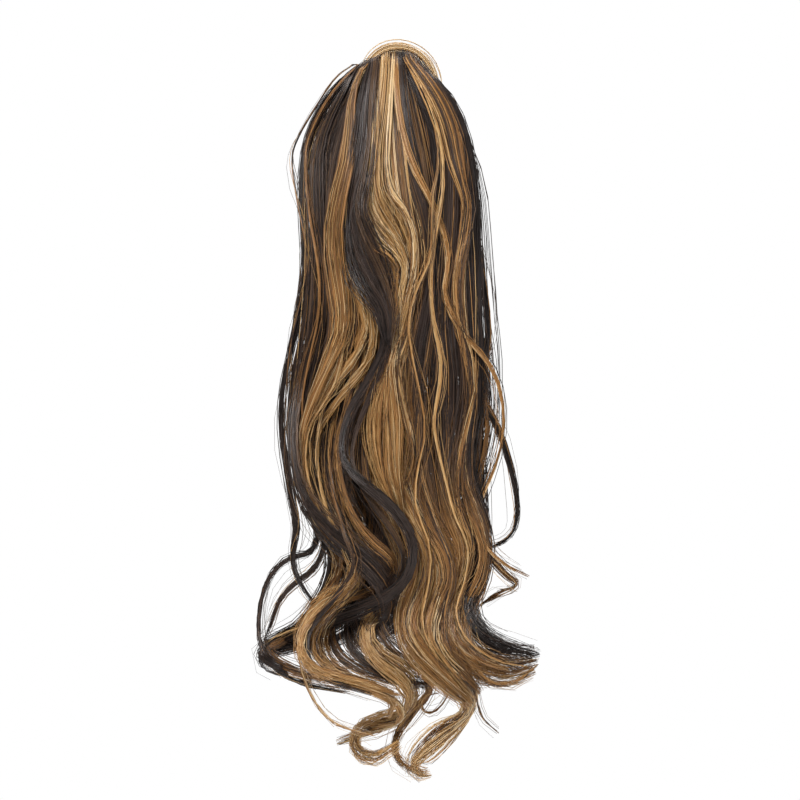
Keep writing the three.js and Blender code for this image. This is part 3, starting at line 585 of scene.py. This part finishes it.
def path_lock(row, kind):
    """A lock from its middle line in the photograph."""
    lock = dict(zip(PATH_COLUMNS, row))
    flat = (np.array(lock["path"], float) - ORIGIN_PX) * PX_MM
    return hanging_lock(flat, (lock["tone"], lock["end_tone"]), lock["layers"], lock["widths"], kind)


def between_lock(a, b):
    """A brown lock half way between two others, just behind them."""
    t = np.linspace(0, BETWEEN_END, LINE_POINTS)
    points = sampled(a["points"] + b["points"], t) / 2 + (0, BETWEEN_BACK, 0)
    facing = unit(sampled(a["normal"] + b["normal"], t))
    widths = (BETWEEN_WIDTH, BETWEEN_WIDTH)
    return lock_along(points, facing, ("mixed", "mixed"), widths, "between")


def wave_turns(drop):
    """Waves passed between the base and a drop."""
    return np.log(WAVE_LENGTH / (WAVE_LENGTH - WAVE_SHORTENING * drop)) / WAVE_SHORTENING


def under_lock(across):
    tip = UNDER_TIP - UNDER_TIP_STEP * abs(across)
    drop = np.linspace(UNDER_TOP, tip, LINE_POINTS)
    turns = wave_turns(drop) - wave_turns(UNDER_CREST + UNDER_LAG * across)
    place = across * UNDER_PITCH * through(UNDER_SPREAD["drop"], UNDER_SPREAD["spread"], drop)
    x = place + grown(drop, UNDER_WAVE, UNDER_CURL) * np.cos(2 * np.pi * turns)
    layers = (UNDER_LAYER, UNDER_LAYER)
    widths = (UNDER_WIDTH, UNDER_WIDTH)
    return hanging_lock(np.stack([x, drop], -1), ("dark", "dark"), layers, widths, "under")


def sampled(values, t):
    """Values given evenly from 0 to 1, read at each t."""
    place = t * (len(values) - 1)
    low = np.clip(place.astype(int), 0, len(values) - 2)
    part = place - low
    if values.ndim > 1:
        part = part[..., None]
    return values[low] * (1 - part) + values[low + 1] * part


def waver(t, count, of):
    """A slow sway along each strand, alike for strands with the same number in of."""
    turns = rng.uniform(*WAVER_TURNS, count)[of][:, None]
    start = rng.uniform(0, 1, count)[of][:, None]
    return ease(t, *WAVER_GROWS) * np.sin(2 * np.pi * (turns * t + start))


def strand_tones(tones, clump, clumps, t):
    """The tone of each strand at each place along it, from its lock's tones at the root and the end."""
    alike = rng.random(len(clump)) < CLUMP_SHARE
    clump_luck = (rng.permutation(clumps) + rng.random(clumps)) / clumps
    luck = np.where(alike, clump_luck[clump], rng.random(len(clump)))
    nudge = rng.normal(0, 1, len(clump))
    shift = rng.normal(0, CLUMP_TONE, clumps)[clump]
    at_root, at_end = (picked_tones(TONES[tone], luck, nudge) + shift for tone in tones)
    fade = ease(t, *TONE_FADE)
    return np.clip(at_root[:, None] * (1 - fade) + at_end[:, None] * fade, 0, 1)


def picked_tones(shares, luck, nudge):
    share, mean, spread = np.array(shares).T
    kind = np.searchsorted(np.cumsum(share), luck).clip(0, len(share) - 1)
    return mean[kind] + spread[kind] * nudge


def ring_places(lock, rings):
    """Places along a lock for the rings of its strands, closer together where it bends."""
    way = unit(np.gradient(lock["points"], axis=0))
    bend = smoothed(np.linalg.norm(np.gradient(way, axis=0), axis=1))
    weight = (1 - BEND_SHARE) / LINE_POINTS + BEND_SHARE * bend / bend.sum()
    reached = np.concatenate([[0], np.cumsum((weight[1:] + weight[:-1]) / 2)])
    return np.interp(np.linspace(0, reached[-1], rings), reached, np.linspace(0, 1, LINE_POINTS))


def gathered(lock, count, t):
    """The clump of each strand, the number of clumps, and each strand's place in the lock's section."""
    spots = rng.normal(0, SECTION_SPREAD, (count, 2)).clip(-SECTION_REACH, SECTION_REACH)
    clumps = max(2, round(lock["width"] / CLUMP_WIDTH))
    middles = spots[rng.choice(count, clumps, replace=False)]
    clump = np.argmin(np.linalg.norm(spots[:, None] - middles, axis=-1), axis=1)
    hold = CLUMP_HOLD * ease(t, *CLUMP_GATHERS)[..., None]
    return clump, clumps, spots[:, None] * (1 - hold) + middles[clump][:, None] * hold


def strand_halves(radius, count, shares):
    """Half the width of each strand at each ring, less at its root and its tip."""
    from_root = ROOT_SIZE + (1 - ROOT_SIZE) * ease(shares, 0, ROOT_FULL)
    to_tip = 1 - (1 - TIP_SIZE) * ease(shares, TIP_START, 1)
    return rng.uniform(*radius, count)[:, None] * from_root * to_tip


def strands_of(lock, kind):
    """Strands that follow a lock, gathered in clumps towards its end."""
    style = dict(zip(STRAND_COLUMNS, STRAND_ROWS[kind]))
    count = max(style["least"], round(lock["width"] * style["per_mm"]))
    loose = min(1, lock["width"] / WANDER_WIDTH)
    clump_wander = CLUMP_WANDER * loose
    wander = style["wander"] * (loose if kind == "path" else 1)
    length = np.linalg.norm(np.diff(lock["points"], axis=0), axis=1).sum()
    rings = min(style["points"], round(length / style["spacing"]))
    shares = ring_places(lock, rings)
    ends = 1 - TIP_STAGGER * rng.random(count) ** 2
    t = ends[:, None] * shares
    clump, clumps, place = gathered(lock, count, t)
    every = np.arange(count)
    across = place[..., 0] * sampled(lock["half_width"], t)
    across += clump_wander * waver(t, clumps, clump) + wander * waver(t, count, every)
    deep = place[..., 1] * sampled(lock["half_thickness"], t)
    deep += CLUMP_DEPTH * clump_wander * waver(t, clumps, clump)
    deep += WANDER_DEPTH * wander * waver(t, count, every)
    side = sampled(lock["side"], t)
    normal = sampled(lock["normal"], t)
    points = sampled(lock["points"], t) + side * across[..., None] + normal * deep[..., None]
    half = strand_halves(style["radius"], count, shares)
    tones = strand_tones(("wisp", "wisp") if kind == "wisp" else lock["tones"], clump, clumps, t)
    return tubes(points, side, normal, half, half, tones, STRAND_SIDES, 1)


def core_of(lock):
    """The body of a lock under its strands."""
    t = np.linspace(0, CORE_END, CORE_POINTS)[None]
    size = CORE_SIZE * (1 - CORE_THINNING * ease(t, CORE_THINS, CORE_END))
    return tubes(
        sampled(lock["points"], t),
        sampled(lock["side"], t),
        sampled(lock["normal"], t),
        size * sampled(lock["half_width"], t),
        size * sampled(lock["half_thickness"], t),
        np.full((1, CORE_POINTS), CORE_TONES[lock["tones"][0]]),
        CORE_SIDES,
        CORE_MAP_ROWS,
    )


def tubes(points, side, normal, half_width, half_thickness, tones, sides, map_rows):
    """Closed tubes along lines of points, with a tone for each ring and the rows of each on the map."""
    angle = 2 * np.pi * np.arange(sides) / sides
    wide = np.cos(angle)[:, None] * (side * half_width[..., None])[:, :, None]
    thick = np.sin(angle)[:, None] * (normal * half_thickness[..., None])[:, :, None]
    return {"spots": points[:, :, None] + wide + thick, "tones": tones, "map_rows": map_rows}


def tube_faces(count, rings, sides):
    """Corner numbers and corner counts of the faces of some tubes."""
    tube = np.arange(count)[:, None, None] * rings * sides
    ring = np.arange(rings - 1)[None, :, None] * sides
    here = np.arange(sides)[None, None]
    following = (here + 1) % sides
    low = tube + ring
    quads = np.stack([low + here, low + sides + here, low + sides + following, low + following], -1)
    first = tube[:, 0] + np.arange(sides)
    last = tube[:, 0] + (rings - 1) * sides + np.arange(sides)[::-1]
    corners = np.concatenate([quads.ravel(), first.ravel(), last.ravel()])
    totals = np.concatenate([np.full(quads.size // 4, 4), np.full(2 * count, sides)])
    return corners, totals


def tube_map(count, rings, sides, map_rows):
    """Map places of the corners of those faces: u along each tube and v across its rows."""
    here = np.arange(sides)[None, None]
    shape = (count, rings - 1, sides, 4)
    part = np.arange(rings - 1)[None, :, None] / (rings - 1)
    u = np.broadcast_to(np.stack([part, part + 1 / (rings - 1)] * 2, -1), shape)[..., [0, 1, 3, 2]]
    row = np.arange(count)[:, None, None] * map_rows
    stacked = map_rows == 1
    low_v = row + (MAP_MARGIN if stacked else here * map_rows / sides)
    high_v = row + (1 - MAP_MARGIN if stacked else (here + 1) * map_rows / sides)
    low_v, high_v = (np.broadcast_to(v, shape[:-1]) for v in (low_v, high_v))
    v = np.stack([low_v, low_v, high_v, high_v], -1)
    cap_u = np.repeat([0.0, 1.0], count * sides)
    cap_v = np.tile(np.repeat((np.arange(count) + 0.5) * map_rows, sides), 2)
    u = np.concatenate([u.ravel(), cap_u])
    v = np.concatenate([v.ravel(), cap_v])
    return np.stack([u, v], -1)


def joined_mesh(name, bundles):
    """One mesh of all the tubes, with a tone at each ring, and the number of rows of its map."""
    spots, corners, totals, places, tones = [], [], [], [], []
    vertices = rows = 0
    for bundle in bundles:
        count, rings, sides = bundle["spots"].shape[:3]
        found, sizes = tube_faces(count, rings, sides)
        spots.append(bundle["spots"].reshape(-1, 3))
        corners.append(found + vertices)
        totals.append(sizes)
        places.append(tube_map(count, rings, sides, bundle["map_rows"]) + (0, rows))
        tones.append(np.repeat(bundle["tones"].ravel(), sides))
        vertices += count * rings * sides
        rows += count * bundle["map_rows"]
    corners = np.concatenate(corners)
    totals = np.concatenate(totals)
    mesh = bpy.data.meshes.new(name)
    mesh.vertices.add(vertices)
    mesh.vertices.foreach_set("co", np.concatenate(spots).astype(np.float32).ravel() * MM)
    mesh.loops.add(len(corners))
    mesh.loops.foreach_set("vertex_index", corners.astype(np.int32))
    mesh.polygons.add(len(totals))
    starts = np.concatenate([[0], np.cumsum(totals)[:-1]])
    mesh.polygons.foreach_set("loop_start", starts.astype(np.int32))
    mesh.polygons.foreach_set("use_smooth", np.ones(len(totals), bool))
    layer = mesh.uv_layers.new(name="OFBake")
    layer.uv.foreach_set("vector", (np.concatenate(places) / (1, rows)).astype(np.float32).ravel())
    tone = mesh.attributes.new("tone", "FLOAT", "POINT")
    tone.data.foreach_set("value", np.concatenate(tones).astype(np.float32))
    mesh.update(calc_edges=True)
    return mesh, rows


def hair_piece(name, bundles, slot, replaced=()):
    """A piece of hair that rides on the root body."""
    mesh, rows = joined_mesh(name, bundles)
    mesh.materials.append(hair_material(name, rows, slot))
    piece = bpy.data.objects.new(name, mesh)
    bpy.context.collection.objects.link(piece)
    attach(piece, "root")
    if replaced:
        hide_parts(*replaced)


# Materials
def new_material(name):
    material = bpy.data.materials.new(name)
    material.use_nodes = True
    tree = material.node_tree
    return material, tree, tree.nodes["Principled BSDF"]


def add_node(tree, kind, **values):
    node = tree.nodes.new(kind)
    for key, value in values.items():
        if key in node.inputs:
            node.inputs[key].default_value = value
        else:
            setattr(node, key, value)
    return node


def two_colours(tree, colours):
    ramp = add_node(tree, "ShaderNodeValToRGB")
    for stop, colour in zip(ramp.color_ramp.elements, colours):
        stop.color = colour
    return ramp


def hair_material(name, rows, slot):
    """Hair fibre: its colour from each strand's tone, with fine streaks along it."""
    material, tree, shader = new_material(name)
    link = tree.links.new
    tone = add_node(tree, "ShaderNodeAttribute", attribute_name="tone")
    places = add_node(tree, "ShaderNodeUVMap", uv_map="OFBake")
    scale = add_node(tree, "ShaderNodeMapping", Scale=(STREAKS_ALONG, rows, 1))
    streaks = add_node(tree, "ShaderNodeTexNoise", **STREAK_NOISE)
    shift = add_node(tree, "ShaderNodeMath", operation="MULTIPLY_ADD")
    shift.inputs[1].default_value = STREAK_STRENGTH
    lower = add_node(tree, "ShaderNodeMath", operation="ADD")
    lower.inputs[1].default_value = -STREAK_STRENGTH / 2
    ramp = add_node(tree, "ShaderNodeValToRGB")
    stops = ramp.color_ramp.elements
    while len(stops) < len(HAIR_RAMP):
        stops.new(RAMP_MIDDLE)
    for stop, (place, colour) in zip(stops, HAIR_RAMP):
        stop.position = place
        stop.color = (*colour, 1)
    bump = add_node(tree, "ShaderNodeBump", **HAIR_BUMP)
    link(places.outputs["UV"], scale.inputs["Vector"])
    link(scale.outputs["Vector"], streaks.inputs["Vector"])
    link(streaks.outputs["Fac"], shift.inputs[0])
    link(tone.outputs["Fac"], lower.inputs[0])
    link(lower.outputs["Value"], shift.inputs[2])
    link(shift.outputs["Value"], ramp.inputs["Fac"])
    link(ramp.outputs["Color"], shader.inputs["Base Color"])
    link(streaks.outputs["Fac"], bump.inputs["Height"])
    link(bump.outputs["Normal"], shader.inputs["Normal"])
    shader.inputs["Roughness"].default_value = HAIR_ROUGHNESS
    shader.inputs["Specular IOR Level"].default_value = HAIR_SHINE[slot]
    return material


def strap_material():
    """Dark hook-and-loop cloth: a woven ground with a short pile."""
    material, tree, shader = new_material("strap_cloth")
    link = tree.links.new
    places = add_node(tree, "ShaderNodeTexCoord")
    warp = add_node(tree, "ShaderNodeTexWave", **WEAVE, bands_direction="X")
    weft = add_node(tree, "ShaderNodeTexWave", **WEAVE, bands_direction="Z")
    pile = add_node(tree, "ShaderNodeTexNoise", **PILE)
    weave = add_node(tree, "ShaderNodeMath", operation="MULTIPLY")
    height = add_node(tree, "ShaderNodeMath", operation="ADD")
    ramp = two_colours(tree, STRAP_COLOURS)
    bump = add_node(tree, "ShaderNodeBump", **STRAP_BUMP)
    for texture in (warp, weft, pile):
        link(places.outputs["Object"], texture.inputs["Vector"])
    link(warp.outputs["Fac"], weave.inputs[0])
    link(weft.outputs["Fac"], weave.inputs[1])
    link(weave.outputs["Value"], height.inputs[0])
    link(pile.outputs["Fac"], height.inputs[1])
    link(height.outputs["Value"], ramp.inputs["Fac"])
    link(height.outputs["Value"], bump.inputs["Height"])
    link(ramp.outputs["Color"], shader.inputs["Base Color"])
    link(bump.outputs["Normal"], shader.inputs["Normal"])
    shader.inputs["Roughness"].default_value = STRAP_ROUGHNESS
    return material


def comb_material():
    """Dark brown moulded plastic with a faint mottle."""
    material, tree, shader = new_material("comb_plastic")
    link = tree.links.new
    places = add_node(tree, "ShaderNodeTexCoord")
    mottle = add_node(tree, "ShaderNodeTexNoise", **MOTTLE)
    ramp = two_colours(tree, COMB_COLOURS)
    rough = add_node(tree, "ShaderNodeMapRange")
    rough.inputs["To Min"].default_value, rough.inputs["To Max"].default_value = COMB_ROUGHNESS
    link(places.outputs["Object"], mottle.inputs["Vector"])
    link(mottle.outputs["Fac"], ramp.inputs["Fac"])
    link(mottle.outputs["Fac"], rough.inputs["Value"])
    link(ramp.outputs["Color"], shader.inputs["Base Color"])
    link(rough.outputs["Result"], shader.inputs["Roughness"])
    return material


# Pieces
def wrap_lock():
    """The pale lock wound round the strap, as a lock like the others."""
    t = np.linspace(0, 1, LINE_POINTS)
    size = through(WRAP_ENDS["along"], WRAP_ENDS["size"], t)
    clock = np.radians(WRAP_FRONT_END + 360 * WRAP_TURNS * t)
    radius = STRAP_OUTER_RADIUS + GAP + size * WRAP_THICKNESS / 2
    points = base_point(WRAP_FRONT - (WRAP_WIDTH + GAP) * WRAP_TURNS * t, radius, clock)
    outward = base_point(np.zeros_like(t), np.ones_like(t), clock)
    lock = lock_along(points, outward, ("wrap", "wrap"), (WRAP_WIDTH, WRAP_WIDTH), "wrap")
    lock["half_width"] = size * WRAP_WIDTH / 2
    lock["half_thickness"] = size * WRAP_THICKNESS / 2
    return lock


def pad_bundle():
    """The dark root pad that closes the outer end of the base."""
    clock = 2 * np.pi * np.arange(PAD_SIDES) / PAD_SIDES
    rings = [base_point(along, radius, clock) for radius, along in zip(*PAD_PROFILE.values())]
    tones = np.full((1, len(rings)), CORE_TONES["dark"])
    return {"spots": np.array(rings)[None], "tones": tones, "map_rows": CORE_MAP_ROWS}


def lock_bundles(locks):
    bundles = []
    for lock in locks:
        if lock["kind"] in ("inner", "under"):
            bundles.append(core_of(lock))
        bundles.append(strands_of(lock, lock["kind"]))
    return bundles


def stray_bundles(locks):
    streaked = [lock for lock in locks if "deep" not in lock["tones"]]
    return [strands_of(lock, "wisp") for lock in streaked] + [strands_of(lock, "fly") for lock in locks]


def middle_x(lock):
    return lock["points"][LINE_POINTS // 2, 0]


def drop_of(lock):
    return -lock["points"][-1, 2]


def showing(locks, tones, right):
    return [lock for lock in locks if lock["tones"][0] in tones and (middle_x(lock) > 0) == right]


path_locks = [path_lock(row, "path") for row in PATH_ROWS.values()]
inner_locks = [path_lock(row, "inner") for row in INNER_ROWS.values()]
under_locks = [under_lock(i - (UNDER_COUNT - 1) / 2) for i in range(UNDER_COUNT)]
long_locks = [lock for lock in path_locks if drop_of(lock) > BETWEEN_LEAST_DROP]
wide = [lock for lock in long_locks if lock["width"] >= BETWEEN_LEAST_WIDTH]
wide.sort(key=middle_x)
between = [between_lock(a, b) for a, b in zip(wide, wide[1:])]
left_dark = showing(path_locks, DARK_TONES, False)
right_dark = showing(path_locks, DARK_TONES, True)
left_honey = showing(path_locks, LIGHT_TONES, False)
right_honey = showing(path_locks, LIGHT_TONES, True)

under_bundles = [pad_bundle(), *lock_bundles(under_locks)]
hair_piece("dark_under", under_bundles, "dark_hair", ["dark_locks"])
hair_piece("dark_inner", lock_bundles(inner_locks), "dark_hair")
hair_piece("dark_left", lock_bundles(left_dark), "dark_hair")
hair_piece("dark_right", lock_bundles(right_dark), "dark_hair")
hair_piece("brown_between", lock_bundles(between), "dark_hair")
hair_piece("honey_left", lock_bundles(left_honey), "honey_hair", ["honey_locks"])
hair_piece("honey_right", lock_bundles(right_honey), "honey_hair")
hair_piece("stray_strands", stray_bundles(path_locks), "dark_hair")

wrap = wrap_lock()
wrap_bundles = [core_of(wrap), strands_of(wrap, "wrap")]
hair_piece("wrap_hair", wrap_bundles, "wrap_hair", ["wrap_lock"])

for node, material in (("wrap_strap", strap_material()), ("clip_comb", comb_material())):
    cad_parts[node].data.materials.clear()
    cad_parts[node].data.materials.append(material)


# Camera, floor and light
def add_camera():
    centre_px = (IMAGE_PX / 2, IMAGE_PX / 2)
    target = Vector((
        (centre_px[0] - ORIGIN_PX[0]) * PX_MM * MM,
        HAIR_PLANE,
        -(centre_px[1] - ORIGIN_PX[1]) * PX_MM * MM,
    ))
    back = Vector((0, -math.cos(CAMERA_ELEVATION), math.sin(CAMERA_ELEVATION)))
    data = bpy.data.cameras.new("camera")
    data.sensor_width = SENSOR
    data.lens = SENSOR * CAMERA_DISTANCE / (IMAGE_PX * PX_MM * MM)
    camera = bpy.data.objects.new("camera", data)
    camera.location = target + back * CAMERA_DISTANCE
    camera.rotation_euler = (-back).to_track_quat("-Z", "Y").to_euler()
    bpy.context.collection.objects.link(camera)
    bpy.context.scene.camera = camera
    return target


def add_floor():
    turns = [2 * math.pi * i / FLOOR_SIDES for i in range(FLOOR_SIDES)]
    rim = [(FLOOR_RADIUS * math.cos(turn), FLOOR_RADIUS * math.sin(turn), 0) for turn in turns]
    mesh = bpy.data.meshes.new("floor")
    mesh.from_pydata(rim, [], [range(FLOOR_SIDES)])
    material, _, shader = new_material("floor")
    shader.inputs["Base Color"].default_value = FLOOR_COLOUR
    shader.inputs["Roughness"].default_value = FLOOR_ROUGHNESS
    mesh.materials.append(material)
    floor = bpy.data.objects.new("floor", mesh)
    floor.location.z = FLOOR_LEVEL
    bpy.context.collection.objects.link(floor)


def add_softbox(row, target):
    box = dict(zip(LIGHT_COLUMNS, row))
    data = bpy.data.lights.new(box["name"], "AREA")
    data.size = box["size"]
    data.energy = box["power"]
    light = bpy.data.objects.new(box["name"], data)
    light.location = box["place"]
    light.rotation_euler = (target - Vector(box["place"])).to_track_quat("-Z", "Y").to_euler()
    bpy.context.collection.objects.link(light)


def add_world():
    """A white room: full white where it is seen, and softer as light."""
    world = bpy.data.worlds.new("studio")
    world.use_nodes = True
    tree = world.node_tree
    background = tree.nodes["Background"]
    background.inputs["Color"].default_value = (1, 1, 1, 1)
    seen = add_node(tree, "ShaderNodeLightPath")
    strength = add_node(tree, "ShaderNodeMapRange")
    strength.inputs["To Min"].default_value = AMBIENT
    strength.inputs["To Max"].default_value = 1
    tree.links.new(seen.outputs["Is Camera Ray"], strength.inputs["Value"])
    tree.links.new(strength.outputs["Result"], background.inputs["Strength"])
    bpy.context.scene.world = world


target = add_camera()
add_floor()
for row in LIGHT_ROWS:
    add_softbox(row, target)
add_world()
bpy.context.scene.view_settings.view_transform = "Standard"
